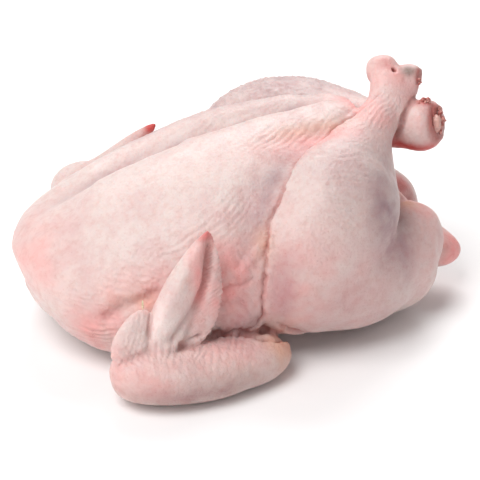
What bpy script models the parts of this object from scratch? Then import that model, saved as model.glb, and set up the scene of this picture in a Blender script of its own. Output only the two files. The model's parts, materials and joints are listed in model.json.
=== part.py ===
"""Whole raw turkey, plucked and drawn, lying on its back with its legs crossed over the vent.

Metres, +Z up. While it is modelled, the floor is z = 0, the breastbone lies on y = 0, +X runs
from the neck end to the tail, and -Y is the near side. At the end the origin moves to the
middle of the underside. Each muscle is a sphere drawn out along a line. The muscles are joined
into one solid, its skin is drawn tight, creased and pressed flat where it rests, and the mesh
is then made light.
"""

import bmesh
import bpy
import numpy as np

# The trunk's cross-sections, from the neck end to the tail.
TRUNK_SECTIONS = (
    # x, top, bottom, half width, widest height, squareness above and below
    (-0.1925, 0.091, 0.068, 0.028, 0.079, 1.80, 2.2),
    (-0.182, 0.099, 0.048, 0.053, 0.074, 1.80, 2.4),
    (-0.165, 0.109, 0.026, 0.074, 0.068, 1.85, 2.7),
    (-0.145, 0.120, 0.010, 0.089, 0.064, 1.90, 2.9),
    (-0.120, 0.133, 0.000, 0.102, 0.062, 1.95, 2.9),
    (-0.080, 0.149, -0.003, 0.114, 0.064, 2.05, 2.7),
    (-0.030, 0.167, -0.003, 0.119, 0.068, 2.15, 2.4),
    (0.010, 0.177, -0.003, 0.116, 0.074, 2.15, 2.2),
    (0.040, 0.183, -0.003, 0.105, 0.078, 2.10, 2.1),
    (0.070, 0.187, -0.003, 0.090, 0.080, 2.05, 2.1),
    (0.094, 0.188, -0.003, 0.068, 0.078, 2.05, 2.1),
    (0.107, 0.181, -0.002, 0.056, 0.068, 2.05, 2.1),
    (0.117, 0.156, 0.000, 0.058, 0.062, 2.00, 2.1),
    (0.130, 0.124, 0.004, 0.060, 0.060, 2.00, 2.1),
    (0.150, 0.098, 0.014, 0.054, 0.056, 2.00, 2.1),
    (0.170, 0.082, 0.026, 0.036, 0.054, 2.00, 2.1),
)

# The two lobes of the breast meet in a shallow valley, which closes towards the keel's tip.
VALLEY_SECTIONS = (
    # x, y of its bottom, depth, half width
    (-0.180, 0.012, 0.000, 0.018),
    (-0.150, 0.018, 0.005, 0.018),
    (-0.094, 0.023, 0.011, 0.017),
    (-0.044, 0.023, 0.012, 0.015),
    (-0.014, 0.019, 0.011, 0.014),
    (0.017, 0.016, 0.010, 0.013),
    (0.060, 0.012, 0.007, 0.011),
    (0.100, 0.006, 0.002, 0.010),
)

# Each muscle's line and half sizes along it: x, y, z, half width, half height. Its height is
# measured towards its own up direction, which is +Z unless muscles() says otherwise.
NEAR_DRUMSTICK = (
    (0.012, -0.080, 0.046, 0.046, 0.036),
    (0.0330, -0.086, 0.073, 0.0555, 0.042),
    (0.0545, -0.084, 0.104, 0.0560, 0.047),
    (0.0776, -0.069, 0.1295, 0.0545, 0.043),
    (0.0934, -0.047, 0.1465, 0.0420, 0.032),
    (0.110, -0.026, 0.165, 0.0225, 0.021),
    (0.1300, -0.008, 0.179, 0.0190, 0.0155),
    (0.1415, 0.004, 0.195, 0.0225, 0.0155),
    (0.147, 0.012, 0.208, 0.0215, 0.0160),
)
NEAR_INNER_KNOB = (
    (0.122, 0.019, 0.198, 0.0125, 0.0125),
    (0.134, 0.015, 0.203, 0.0145, 0.0145),
    (0.146, 0.012, 0.200, 0.0120, 0.0120),
)
NEAR_OUTER_KNOB = (
    (0.144, 0.010, 0.196, 0.0120, 0.0120),
    (0.157, 0.008, 0.200, 0.0145, 0.0140),
    (0.167, 0.006, 0.195, 0.0110, 0.0110),
)
FAR_DRUMSTICK = (
    (0.000, 0.092, 0.088, 0.042, 0.040),
    (0.036, 0.092, 0.116, 0.047, 0.045),
    (0.070, 0.080, 0.132, 0.045, 0.041),
    (0.102, 0.058, 0.141, 0.036, 0.031),
    (0.126, 0.034, 0.147, 0.023, 0.021),
    (0.145, 0.009, 0.153, 0.018, 0.018),
    (0.160, -0.011, 0.162, 0.022, 0.023),
    (0.172, -0.026, 0.168, 0.023, 0.022),
)
THIGH = (
    (-0.038, -0.070, 0.058, 0.028, 0.040),
    (0.010, -0.083, 0.068, 0.039, 0.049),
    (0.060, -0.084, 0.068, 0.040, 0.050),
    (0.098, -0.071, 0.063, 0.040, 0.050),
    (0.128, -0.054, 0.056, 0.038, 0.044),
    (0.152, -0.036, 0.050, 0.026, 0.028),
)
NEAR_HIP = (
    (0.090, -0.040, 0.056, 0.044, 0.050),
    (0.126, -0.044, 0.056, 0.046, 0.053),
    (0.150, -0.034, 0.056, 0.037, 0.047),
    (0.168, -0.020, 0.048, 0.024, 0.028),
)
FAR_HIP = (
    (0.090, 0.038, 0.056, 0.044, 0.050),
    (0.126, 0.034, 0.057, 0.042, 0.050),
    (0.148, 0.026, 0.055, 0.036, 0.042),
    (0.168, 0.016, 0.050, 0.026, 0.028),
)
TAIL = (
    (0.168, -0.002, 0.042, 0.026, 0.021),
    (0.189, -0.002, 0.036, 0.020, 0.015),
    (0.2065, 0.000, 0.029, 0.009, 0.007),
)
UPPER_ARM = (
    (-0.100, -0.078, 0.050, 0.030, 0.030),
    (-0.050, -0.094, 0.044, 0.025, 0.025),
    (0.004, -0.102, 0.026, 0.016, 0.018),
)
NEAR_FOREARM = (
    (-0.134, -0.136, 0.032, 0.022, 0.024),
    (-0.100, -0.140, 0.027, 0.031, 0.025),
    (-0.060, -0.138, 0.022, 0.032, 0.024),
    (-0.024, -0.128, 0.020, 0.028, 0.022),
    (0.022, -0.108, 0.021, 0.023, 0.021),
)
NEAR_HAND = (
    (-0.099, -0.142, 0.036, 0.0140, 0.0120),
    (-0.085, -0.137, 0.070, 0.0165, 0.0125),
    (-0.068, -0.130, 0.105, 0.0150, 0.0105),
    (-0.048, -0.120, 0.142, 0.0045, 0.0040),
)
NEAR_FEATHER_EDGE = (
    (-0.076, -0.140, 0.044, 0.0130, 0.0036),
    (-0.058, -0.136, 0.075, 0.0140, 0.0036),
    (-0.0495, -0.1295, 0.104, 0.0110, 0.0034),
    (-0.0475, -0.1205, 0.141, 0.0040, 0.0030),
)
NEAR_THUMB = (
    (-0.122, -0.146, 0.036, 0.014, 0.0070),
    (-0.118, -0.143, 0.060, 0.014, 0.0065),
    (-0.104, -0.134, 0.084, 0.005, 0.0035),
)
NEAR_FLANK = (
    (-0.080, -0.092, 0.062, 0.028, 0.030),
    (-0.030, -0.096, 0.054, 0.027, 0.034),
    (0.014, -0.096, 0.044, 0.022, 0.030),
)
FAR_FOREARM = (
    (-0.138, 0.136, 0.062, 0.020, 0.022),
    (-0.104, 0.142, 0.055, 0.030, 0.026),
    (-0.060, 0.142, 0.038, 0.031, 0.025),
    (-0.024, 0.134, 0.028, 0.026, 0.022),
    (0.020, 0.112, 0.022, 0.014, 0.013),
)
FAR_HAND = (
    (-0.128, 0.140, 0.062, 0.013, 0.009),
    (-0.100, 0.130, 0.077, 0.014, 0.009),
    (-0.074, 0.119, 0.100, 0.012, 0.007),
    (-0.046, 0.107, 0.132, 0.005, 0.004),
)
NECK_SKIN = (
    (-0.150, -0.066, 0.040, 0.010, 0.010),
    (-0.163, -0.040, 0.046, 0.013, 0.013),
    (-0.168, 0.000, 0.048, 0.015, 0.015),
    (-0.163, 0.040, 0.046, 0.013, 0.013),
    (-0.150, 0.066, 0.040, 0.010, 0.010),
)

# Folds of the skin: the line that each follows, its half width and its depth. A negative depth
# raises a ridge.
FOLDS = (
    (  # where the near leg lies against the flank and the breast
        ((-0.0028, -0.1194, 0.0560), (-0.0019, -0.1187, 0.0702), (0.0008, -0.1161, 0.0923),
         (0.0037, -0.1121, 0.1098), (0.0099, -0.0975, 0.1353), (0.0254, -0.0792, 0.1549),
         (0.0486, -0.0571, 0.1676), (0.0732, -0.0386, 0.1770), (0.1044, -0.0199, 0.1850)),
        0.0045,
        0.0040,
    ),
    (  # the near armpit
        ((-0.1283, -0.0982, 0.0590), (-0.1094, -0.1052, 0.0718), (-0.0892, -0.1090, 0.0825)),
        0.0060,
        0.0040,
    ),
    (  # the far armpit
        ((-0.132, 0.096, 0.060), (-0.115, 0.103, 0.072), (-0.101, 0.107, 0.079), (-0.084, 0.110, 0.084)),
        0.0060,
        0.0050,
    ),
    (  # between the flank and the near forearm
        ((-0.0520, -0.1320, 0.0450), (-0.0347, -0.1223, 0.0415), (-0.0184, -0.1246, 0.0416),
         (-0.0030, -0.1272, 0.0401), (0.0089, -0.1271, 0.0365)),
        0.0045,
        0.0035,
    ),
    (  # the groove between the near hand's bones and its feather edge
        ((-0.0485, -0.1263, 0.1291), (-0.0544, -0.1335, 0.1016), (-0.0668, -0.1425, 0.0805),
         (-0.0850, -0.1504, 0.0614)),
        0.0040,
        0.0030,
    ),
    (  # the vent, under the crossed legs
        ((0.124, 0.003, 0.132), (0.136, 0.002, 0.112), (0.150, 0.000, 0.096), (0.160, -0.001, 0.084)),
        0.0090,
        0.0120,
    ),
    (  # the lip of skin on the vent's near side
        ((0.132, -0.024, 0.112), (0.145, -0.020, 0.104), (0.157, -0.014, 0.092)),
        0.0050,
        -0.0025,
    ),
    (  # the crest of the near breast lobe
        ((-0.1111, 0.0040, 0.1263), (-0.0603, 0.0060, 0.1459), (-0.0047, 0.0000, 0.1626),
         (0.0755, -0.0010, 0.1818)),
        0.0080,
        -0.0030,
    ),
    (  # the crest of the far breast lobe
        ((-0.1111, 0.040, 0.1243), (-0.0603, 0.044, 0.1429), (-0.0047, 0.038, 0.1600),
         (0.0553, 0.032, 0.1740)),
        0.0100,
        -0.0025,
    ),
)

# Stretches that the skin spans smoothly: the middle of each, its radius and how often it is relaxed.
TAUT_SKIN = (
    ((0.050, -0.118, 0.066), 0.040, 60),
    ((0.108, -0.094, 0.062), 0.030, 50),
    ((0.124, -0.090, 0.082), 0.022, 40),
    ((0.142, -0.076, 0.056), 0.024, 40),
    ((0.050, 0.118, 0.066), 0.040, 60),
)

# How finely the muscles and the trunk are drawn before they are joined, and how full the trunk
# stays towards its ends.
MUSCLE_RINGS = 32
MUSCLE_SIDES = 28
TRUNK_RINGS = 72
TRUNK_SIDES = 72
TRUNK_BLUNTNESS = 24
TANGENT_STEP = 0.01

# The skin: the size of its cells, how it is relaxed, and how deep it sinks in where muscles meet.
VOXEL = 0.003
PATCH_FALLOFF = 4
RELAX_ROUNDS = 6
RELAX_SHARE = 0.5
FOLD_RADIUS = 0.010
FOLD_DEEPENING = 0.0035
HOLLOW_BLURS = 3
TRIANGLES = 10000
FLOOR_TOLERANCE = 0.0003
SKIN_COLOUR = (0.72, 0.47, 0.41, 1.0)
SKIN_ROUGHNESS = 0.42


def smooth_values(knots, values, at):
    """The rows of values on a smooth curve through knots, read at each of at."""
    slopes = np.gradient(values, knots, axis=0)
    span = np.clip(np.searchsorted(knots, at, side="right") - 1, 0, len(knots) - 2)
    width = (knots[span + 1] - knots[span])[:, None]
    u = (at - knots[span])[:, None] / width
    return (
        (2 * u**3 - 3 * u**2 + 1) * values[span]
        + (u**3 - 2 * u**2 + u) * width * slopes[span]
        + (3 * u**2 - 2 * u**3) * values[span + 1]
        + (u**3 - u**2) * width * slopes[span + 1]
    )


def power(value, exponent):
    return np.sign(value) * np.abs(value) ** exponent


def unit(vectors):
    return vectors / np.linalg.norm(vectors, axis=-1, keepdims=True)


def points_of(obj):
    points = np.empty(len(obj.data.vertices) * 3, np.float32)
    obj.data.vertices.foreach_get("co", points)
    return points.reshape(-1, 3).astype(float)


def move_points(obj, points):
    obj.data.vertices.foreach_set("co", points.astype(np.float32).ravel())
    obj.data.update()


def normals_of(obj):
    normals = np.empty(len(obj.data.vertices) * 3, np.float32)
    obj.data.vertices.foreach_get("normal", normals)
    return normals.reshape(-1, 3).astype(float)


def ball(name, rings, sides):
    """A unit sphere with its poles on Z, as an object and as points."""
    mesh = bpy.data.meshes.new(name)
    bm = bmesh.new()
    bmesh.ops.create_uvsphere(bm, u_segments=sides, v_segments=rings, radius=1.0)
    bm.to_mesh(mesh)
    bm.free()
    obj = bpy.data.objects.new(name, mesh)
    return obj, points_of(obj)


def muscle(name, rows, up=(0, 0, 1), blunt=4):
    """A ball drawn out along the line in rows. blunt sets how far its ends stay full."""
    obj, sphere = ball(name, MUSCLE_RINGS, MUSCLE_SIDES)
    rows = np.array(rows)
    knots = np.linspace(0, 1, len(rows))
    along = (sphere[:, 2] + 1) / 2
    place = smooth_values(knots, rows, along)
    ahead = smooth_values(knots, rows[:, :3], np.clip(along + TANGENT_STEP, 0, 1))
    behind = smooth_values(knots, rows[:, :3], np.clip(along - TANGENT_STEP, 0, 1))
    forward = unit(ahead - behind)
    side = unit(np.cross(up, forward))
    rise = np.cross(forward, side)
    angle = np.arctan2(sphere[:, 1], sphere[:, 0])
    fullness = np.sqrt(1 - np.abs(sphere[:, 2]).clip(0, 1) ** blunt)
    across = (np.cos(angle) * fullness * place[:, 3])[:, None]
    upward = (np.sin(angle) * fullness * place[:, 4])[:, None]
    move_points(obj, place[:, :3] + side * across + rise * upward)
    return obj


def mirrored(rows):
    """The same muscle on the bird's other side."""
    return [(x, -y, *rest) for x, y, *rest in rows]


def trunk():
    """Breast, back and belly, whose cross-section above its widest height differs from that below."""
    obj, sphere = ball("turkey", TRUNK_RINGS, TRUNK_SIDES)
    sections = np.array(TRUNK_SECTIONS)
    valley = np.array(VALLEY_SECTIONS)
    first, last = sections[[0, -1], 0]
    x = first + (last - first) * (sphere[:, 2] + 1) / 2
    top, bottom, half_width, widest, above, below = smooth_values(sections[:, 0], sections[:, 1:], x).T
    fullness = np.sqrt(1 - np.abs(sphere[:, 2]).clip(0, 1) ** TRUNK_BLUNTNESS)
    angle = np.arctan2(sphere[:, 1], sphere[:, 0])
    upper = np.sin(angle) > 0
    squareness = np.where(upper, above, below)
    height = np.where(upper, top - widest, widest - bottom)
    y = power(np.cos(angle), 2 / squareness) * half_width * fullness
    z = widest + power(np.sin(angle), 2 / squareness) * height * fullness
    middle, depth, width = smooth_values(valley[:, 0], valley[:, 1:], x.clip(*valley[[0, -1], 0])).T
    z -= np.where(upper, depth * np.exp(-(((y - middle) / width) ** 2)), 0)
    move_points(obj, np.column_stack([x, y, z]))
    return obj


def muscles():
    flat_to_near = (0, -1, 0)
    return [
        muscle("near drumstick", NEAR_DRUMSTICK, flat_to_near, blunt=12),
        muscle("near inner knob", NEAR_INNER_KNOB, blunt=3),
        muscle("near outer knob", NEAR_OUTER_KNOB, blunt=3),
        muscle("far drumstick", FAR_DRUMSTICK, blunt=12),
        muscle("near thigh", THIGH, blunt=5),
        muscle("far thigh", mirrored(THIGH), blunt=5),
        muscle("near hip", NEAR_HIP, blunt=5),
        muscle("far hip", FAR_HIP, blunt=5),
        muscle("tail", TAIL, blunt=5),
        muscle("near upper arm", UPPER_ARM),
        muscle("far upper arm", mirrored(UPPER_ARM)),
        muscle("near flank", NEAR_FLANK, blunt=5),
        muscle("far flank", mirrored(NEAR_FLANK), blunt=5),
        muscle("near forearm", NEAR_FOREARM, blunt=8),
        muscle("near hand", NEAR_HAND, flat_to_near, blunt=6),
        muscle("near feather edge", NEAR_FEATHER_EDGE, flat_to_near, blunt=6),
        muscle("near thumb", NEAR_THUMB, flat_to_near, blunt=5),
        muscle("far forearm", FAR_FOREARM, blunt=5),
        muscle("far hand", FAR_HAND, flat_to_near, blunt=6),
        muscle("neck skin", NECK_SKIN),
    ]


def apply_modifiers(obj):
    """The object's mesh as its modifiers leave it."""
    graph = bpy.context.evaluated_depsgraph_get()
    mesh = bpy.data.meshes.new_from_object(obj.evaluated_get(graph))
    old = obj.data
    obj.modifiers.clear()
    obj.data = mesh
    bpy.data.meshes.remove(old)
    mesh.name = obj.name


def join(base, others):
    """Fuses others onto base by one union over a collection, and removes them."""
    collection = bpy.data.collections.new("muscles")
    bpy.context.scene.collection.children.link(collection)
    for obj in others:
        collection.objects.link(obj)
    union = base.modifiers.new("muscles", "BOOLEAN")
    union.operation = "UNION"
    union.operand_type = "COLLECTION"
    union.collection = collection
    union.solver = "EXACT"
    apply_modifiers(base)
    for obj in list(collection.objects):
        bpy.data.objects.remove(obj)
    bpy.data.collections.remove(collection)


def cover_with_skin(obj):
    """One even skin over the fused muscles."""
    remesh = obj.modifiers.new("skin", "REMESH")
    remesh.mode = "VOXEL"
    remesh.voxel_size = VOXEL
    smooth = obj.modifiers.new("relax", "SMOOTH")
    smooth.factor = RELAX_SHARE
    smooth.iterations = RELAX_ROUNDS
    apply_modifiers(obj)


def neighbour_averages(obj):
    """A function that gives the average over each point's neighbours of whatever it is handed."""
    edges = np.empty(len(obj.data.edges) * 2, np.int32)
    obj.data.edges.foreach_get("vertices", edges)
    a, b = edges.reshape(-1, 2).T
    ends = np.concatenate([a, b])
    others = np.concatenate([b, a])
    size = len(obj.data.vertices)
    count = np.bincount(ends, minlength=size)

    def average(values):
        columns = [np.bincount(ends, column[others], size) / count for column in values.T]
        return np.column_stack(columns)

    return average


def distance_to_line(points, line):
    """Each point's distance to the nearest stretch of an open line."""
    nearest = np.full(len(points), np.inf)
    for start, end in zip(line[:-1], line[1:]):
        start = np.array(start)
        run = np.array(end) - start
        along = ((points - start) @ run / (run @ run)).clip(0, 1)
        gap = np.linalg.norm(points - start - along[:, None] * run, axis=1)
        nearest = np.minimum(nearest, gap)
    return nearest


def tighten(obj, average):
    """Relaxes the skin where it spans smoothly from one muscle to the next."""
    points = points_of(obj)
    for middle, radius, rounds in TAUT_SKIN:
        weight = np.exp(-((np.linalg.norm(points - middle, axis=1) / radius) ** PATCH_FALLOFF))[:, None]
        for _ in range(rounds):
            points += RELAX_SHARE * weight * (average(points) - points)
    move_points(obj, points)


def fold(obj, average):
    """Presses the folds in, and deepens every hollow where two muscles meet."""
    points = points_of(obj)
    normals = normals_of(obj)
    hollow = 2 * ((average(points) - points) * normals).sum(axis=1) / VOXEL**2
    for _ in range(HOLLOW_BLURS):
        hollow = average(hollow[:, None])[:, 0]
    depth = FOLD_DEEPENING * (hollow * FOLD_RADIUS).clip(0, 1)
    for line, half_width, line_depth in FOLDS:
        depth += line_depth * np.exp(-((distance_to_line(points, line) / half_width) ** 2))
    move_points(obj, points - normals * depth[:, None])


def rest(obj):
    """Presses flat what reaches the floor."""
    points = points_of(obj)
    points[:, 2] = points[:, 2].clip(0)
    move_points(obj, points)


def lighten(obj):
    """Fewer and larger triangles, small ones only where the form bends."""
    count = sum(len(face.vertices) - 2 for face in obj.data.polygons)
    decimate = obj.modifiers.new("lighten", "DECIMATE")
    decimate.ratio = TRIANGLES / count
    decimate.use_collapse_triangulate = True
    apply_modifiers(obj)


def centre(obj):
    """Moves the origin to the middle of the underside."""
    points = points_of(obj)
    low, high = points.min(axis=0), points.max(axis=0)
    points[:, :2] -= (low[:2] + high[:2]) / 2
    points[:, 2] = np.where(points[:, 2] < FLOOR_TOLERANCE, 0, points[:, 2])
    move_points(obj, points)


def skin_material():
    """Raw poultry skin: pale, pinkish and slightly moist."""
    material = bpy.data.materials.new("raw poultry skin")
    material.use_nodes = True
    shader = material.node_tree.nodes["Principled BSDF"]
    shader.inputs["Base Color"].default_value = SKIN_COLOUR
    shader.inputs["Roughness"].default_value = SKIN_ROUGHNESS
    return material


def main():
    for obj in list(bpy.data.objects):
        bpy.data.objects.remove(obj)
    collection = bpy.data.collections.new("whole raw turkey")
    bpy.context.scene.collection.children.link(collection)
    bird = trunk()
    collection.objects.link(bird)
    join(bird, muscles())
    cover_with_skin(bird)
    average = neighbour_averages(bird)
    tighten(bird, average)
    fold(bird, average)
    rest(bird)
    lighten(bird)
    centre(bird)
    bird.data.shade_smooth()
    bird.data.materials.append(skin_material())


main()
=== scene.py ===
"""The looks of a whole raw turkey: its skin, the ends of its legs, a quill, and a small studio."""

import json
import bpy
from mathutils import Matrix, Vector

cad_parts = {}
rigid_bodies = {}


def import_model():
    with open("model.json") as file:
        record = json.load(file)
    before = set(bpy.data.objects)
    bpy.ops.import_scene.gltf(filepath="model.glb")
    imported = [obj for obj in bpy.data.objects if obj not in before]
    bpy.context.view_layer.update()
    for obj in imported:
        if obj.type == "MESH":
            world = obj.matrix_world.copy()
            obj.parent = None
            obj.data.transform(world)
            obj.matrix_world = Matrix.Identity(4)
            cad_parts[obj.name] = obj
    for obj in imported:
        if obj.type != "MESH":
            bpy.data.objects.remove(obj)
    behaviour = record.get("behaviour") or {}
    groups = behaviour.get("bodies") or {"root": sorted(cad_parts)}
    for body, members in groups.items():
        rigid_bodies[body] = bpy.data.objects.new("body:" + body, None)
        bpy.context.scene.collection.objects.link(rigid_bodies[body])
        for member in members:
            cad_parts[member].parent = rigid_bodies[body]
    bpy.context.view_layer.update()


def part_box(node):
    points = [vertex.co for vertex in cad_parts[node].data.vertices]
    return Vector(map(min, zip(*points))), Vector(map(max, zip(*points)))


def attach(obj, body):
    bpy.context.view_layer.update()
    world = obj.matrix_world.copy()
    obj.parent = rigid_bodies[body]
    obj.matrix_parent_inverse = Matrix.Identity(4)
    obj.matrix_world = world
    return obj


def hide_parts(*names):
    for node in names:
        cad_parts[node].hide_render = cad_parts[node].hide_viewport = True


bl_info = {
    "name": "Whole Raw Turkey",
    "version": (1, 0, 0),
    "blender": (4, 5, 0),
    "location": "View3D > Sidebar > Turkey",
    "description": "Draws the skin over the muscles of a whole raw turkey and lights it in a plain studio",
    "category": "Add Mesh",
}

import bmesh
import bpy
import numpy as np
from mathutils import Vector

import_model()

MM = 0.001
AIM = (0.0026, -0.0116, 0.0699)
LIGHTS = {"key": (-1.3, -0.9, 2.6), "side": (-2.6, -0.95, 1.15), "back": (0.75, 1.95, 2.15)}
LIGHT_SIZE = 2.0
LIGHT_AIM = (0.0, 0.0, 0.05)
FLOOR_SIZE = 4.0
FLOOR_CLEARANCE = 0.00001
CREASE_SHADE_RADIUS = 5 * MM

# The lengths below are in millimetres. Places are in the frame in which the bird is modelled: the
# floor is z = 0, the breastbone lies on y = 0, and the neck end points to -X. to_row_frame() moves
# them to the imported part's own origin.

TRUNK_SECTIONS = (
    # x, top, bottom, half width, widest height, squareness above and below
    (-192.5, 91, 68, 28, 79, 1.8, 2.2),
    (-182, 99, 48, 53, 74, 1.8, 2.4),
    (-165, 109, 26, 74, 68, 1.85, 2.7),
    (-145, 120, 10, 89, 64, 1.9, 2.9),
    (-120, 133, 0, 102, 62, 1.95, 2.9),
    (-80, 149, -3, 114, 64, 2.05, 2.7),
    (-30, 167, -3, 119, 68, 2.15, 2.4),
    (10, 177, -3, 116, 74, 2.15, 2.2),
    (40, 183, -3, 105, 78, 2.1, 2.1),
    (70, 187, -3, 90, 80, 2.05, 2.1),
    (94, 188, -3, 68, 78, 2.05, 2.1),
    (107, 181, -2, 56, 68, 2.05, 2.1),
    (117, 156, 0, 58, 62, 2.0, 2.1),
    (130, 124, 4, 60, 60, 2.0, 2.1),
    (150, 98, 20, 50, 58, 2.0, 2.1),
    (170, 82, 39, 32, 60, 2.0, 2.1),
)
VALLEY_SECTIONS = (
    # x, y of its bottom, depth, half width
    (-180, 12, 0, 18),
    (-150, 18, 6, 18),
    (-94, 23, 13, 17),
    (-44, 23, 14.5, 15),
    (-14, 19, 13.5, 14),
    (17, 16, 12.5, 13),
    (60, 12, 8.5, 11),
    (100, 6, 2.5, 10),
)

# Each muscle's line and half sizes along it: x, y, z, half width, half height.
NEAR_DRUMSTICK = (
    (12, -80, 46, 46, 36),
    (33, -86, 73, 55.5, 42),
    (54.5, -84, 104, 56, 47),
    (77.6, -69, 129.5, 54.5, 43),
    (93.4, -47, 146.5, 42, 32),
    (110, -26, 165, 22.5, 21),
    (130, -8, 179, 19, 15.5),
    (141.5, 4, 195, 22.5, 15.5),
    (147, 12, 208, 21.5, 16),
)
NEAR_INNER_KNOB = (
    (122, 19, 198, 12.5, 12.5),
    (134, 15, 203, 14.5, 14.5),
    (146, 12, 200, 12, 12),
)
NEAR_OUTER_KNOB = (
    (144, 10, 195, 12, 12),
    (155, 7, 197.5, 13.8, 13.6),
    (164, 4, 194, 10.6, 10.6),
)
FAR_DRUMSTICK = (
    (0, 92, 88, 42, 40),
    (36, 92, 116, 47, 45),
    (70, 80, 132, 45, 41),
    (102, 58, 141, 36, 31),
    (126, 34, 147, 23, 21),
    (145, 9, 153, 18, 18),
    (160, -11, 162, 22, 23),
    (172, -26, 168, 23, 22),
)
THIGH = (
    (-38, -70, 58, 28, 40),
    (10, -83, 68, 39, 49),
    (60, -84, 68, 40, 50),
    (98, -71, 63, 40, 50),
    (127, -55, 60, 34, 40),
    (147, -39, 56, 24, 24),
)
NEAR_HIP = (
    (90, -40, 56, 44, 50),
    (126, -44, 58, 44, 51),
    (148, -34, 64, 34, 38),
    (163, -21, 59, 23, 23),
)
FAR_HIP = (
    (90, 38, 56, 44, 50),
    (126, 34, 57, 42, 50),
    (148, 26, 55, 36, 42),
    (168, 16, 50, 26, 28),
)
TAIL = (
    (165, -2, 44, 26, 21),
    (186, -3, 37, 22, 16.5),
    (204.5, -1, 31, 9, 7),
)
UPPER_ARM = (
    (-100, -78, 50, 30, 30),
    (-50, -94, 44, 25, 25),
    (-4, -100, 30, 14, 16),
)
NEAR_FOREARM = (
    (-134, -136, 32, 22, 24),
    (-100, -140, 27, 31, 25),
    (-60, -138, 22, 32, 24),
    (-24, -128, 19.5, 28, 21.5),
    (21, -111, 17.5, 22, 17.5),
)
NEAR_HAND = (
    (-99, -142, 36, 14, 12),
    (-85, -137, 70, 16.5, 12.5),
    (-68, -130, 105, 15, 10.5),
    (-48, -120, 142, 4.5, 4),
)
NEAR_FEATHER_EDGE = (
    (-76, -140, 44, 13, 3.6),
    (-58, -136, 75, 14, 3.6),
    (-49.5, -129.5, 104, 11, 3.4),
    (-47.5, -120.5, 141, 4, 3),
)
NEAR_THUMB = (
    (-122, -146, 36, 14, 7),
    (-115.5, -143, 60, 16.8, 7),
    (-103.2, -134, 83, 7.8, 4),
)
NEAR_FLANK = (
    (-80, -92, 62, 28, 30),
    (-30, -96, 54, 27, 34),
    (6, -92, 52, 20, 26),
)
FAR_FOREARM = (
    (-138, 136, 62, 20, 22),
    (-104, 142, 55, 30, 26),
    (-60, 142, 38, 31, 25),
    (-24, 134, 28, 26, 22),
    (20, 112, 22, 14, 13),
)
FAR_HAND = (
    (-128, 140, 62, 13, 9),
    (-100, 130, 77, 14, 9),
    (-74, 119, 100, 12, 7),
    (-46, 107, 132, 5, 4),
)
NECK_SKIN = (
    (-150, -66, 40, 10, 10),
    (-163, -40, 46, 13, 13),
    (-168, 0, 48, 15, 15),
    (-163, 40, 46, 13, 13),
    (-150, 66, 40, 10, 10),
)

# The crest of the far breast lobe.
FAR_CREST = (
    (-111.1, 40, 124.3),
    (-60.3, 44, 142.9),
    (-4.7, 38, 160),
    (55.3, 32, 174),
)

# Folds of the skin: the line that each follows, its half width and its depth. A negative depth
# raises a ridge.
FOLDS = (
    (  # the near armpit
        ((-128.3, -98.2, 59), (-118.9, -102.3, 65.7), (-109.4, -105.2, 71.8), (-99, -107.7, 76.5),
         (-89.2, -109, 82.5)),
        6, 3.6,
    ),
    (  # the far armpit
        ((-132, 96, 60), (-115, 103, 72), (-101, 107, 79), (-84, 110, 84)),
        6, 5,
    ),
    (  # the flank's fold, between the near wing's tip and the leg
        ((-34.3, -117.4, 85.8), (-26.1, -117.7, 85.8), (-18.6, -117.8, 85.9), (-10, -116, 90)),
        2, 2.6,
    ),
    (  # the ridge of skin over that fold
        ((-5.3, -110.9, 111.2), (-12.6, -113.5, 104.2), (-20.6, -115.9, 95.3)),
        4.5, -2.8,
    ),
    (  # the finger bones in the near hand
        ((-107, -147.1, 54), (-98.7, -147.4, 66.1), (-86.9, -143.7, 90.2), (-71.6, -138, 112.6),
         (-57, -127.9, 132.8)),
        6.5, -2.2,
    ),
    (  # the groove between them and the feather edge
        ((-48.5, -126.3, 129.1), (-54.4, -133.5, 101.6), (-66.8, -142.5, 80.5), (-85, -150.4, 61.4)),
        4, 4.6,
    ),
    (  # the slit where the feather edge meets the forearm
        ((-78, -146, 54), (-68.9, -142.5, 54.8), (-60.5, -141.1, 57.5)),
        2, 4.5,
    ),
    (  # between the thumb and the hand
        ((-100.4, -136.1, 75.7), (-103.5, -143, 66), (-107, -147.1, 54)),
        2.4, 4.5,
    ),
    (  # the pit where the leg, the flank and the forearm meet
        ((-6, -123, 48), (-3, -125, 42)),
        5, 6,
    ),
    (  # the slit in the far leg's cut end
        ((166.8, -19, 180), (168.2, -23.5, 176), (168, -27.5, 170)),
        1.6, 4,
    ),
    (  # the edge of the skin round that cut
        ((159, -17, 185), (164, -19.5, 181.5), (165.5, -26, 176), (165, -31, 168)),
        1.6, -1.4,
    ),
    (  # the vent, under the crossed legs
        ((124, 3, 132), (136, 2, 112), (150, 0, 96), (160, -1, 84)),
        8, 13,
    ),
    (  # the lip of skin on the vent's near side
        ((132, -24, 112), (145, -20, 104), (157, -14, 92)),
        4, -2.5,
    ),
    (  # the crest of the near breast lobe
        ((-111.1, 4, 126.3), (-87.7, 6, 135), (-60.3, 6, 145.9), (-41.8, 4, 151.9), (-23.2, 2, 157.6),
         (-4.7, 0, 162.6), (14.2, -1, 167.6), (34, -1.5, 172.5), (55.3, 0, 177.8), (75.5, -1, 181.8)),
        6.5, -4,
    ),
    (  # the crest of the far breast lobe
        FAR_CREST,
        10, -2.5,
    ),
    (  # the slope of the near lobe down to the leg
        ((56, -36, 177.6), (39.9, -42.1, 175.3), (16.4, -61.9, 164.2), (-1.2, -82.6, 148.8),
         (-10.9, -99.2, 130.7), (-14.5, -111.3, 109.8)),
        15, 4,
    ),
)

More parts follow.
